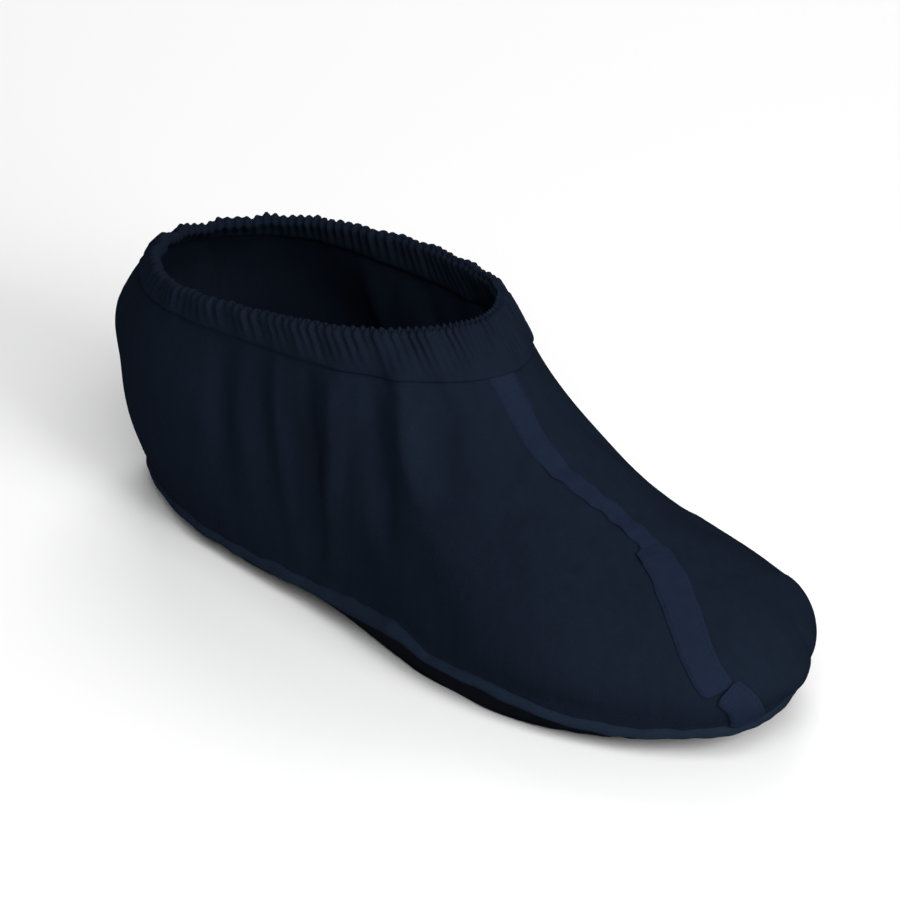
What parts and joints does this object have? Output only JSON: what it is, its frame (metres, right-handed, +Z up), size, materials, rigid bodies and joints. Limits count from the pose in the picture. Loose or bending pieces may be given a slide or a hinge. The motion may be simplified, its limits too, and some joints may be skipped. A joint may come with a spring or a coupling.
{
  "type": "reusable shoe cover",
  "caption": "Slip-on cloth shoe cover with a hollow foot-shaped upper, an elastic bound collar, a taped instep seam and a soft tray sole, worn over a shoe to keep floors clean.",
  "frame": {"origin": "centre of the bounding box, at the floor the sole stands on", "axes": "+X towards the toe, +Y towards the little-toe side, +Z up"},
  "size_m": [0.3174, 0.106, 0.1219],
  "materials": {
    "cloth": "matte navy woven polyester",
    "binding": "matte navy bias binding",
    "tape": "flat woven seam tape, a little lighter than the cloth",
    "sole": "matte soft rubber-coated cloth"
  },
  "bodies": {
    "root": {"upper": "cloth", "sole": "sole", "seam_binding": "binding", "collar_binding": "binding", "instep_tape": "tape"}
  },
  "joints": []
}
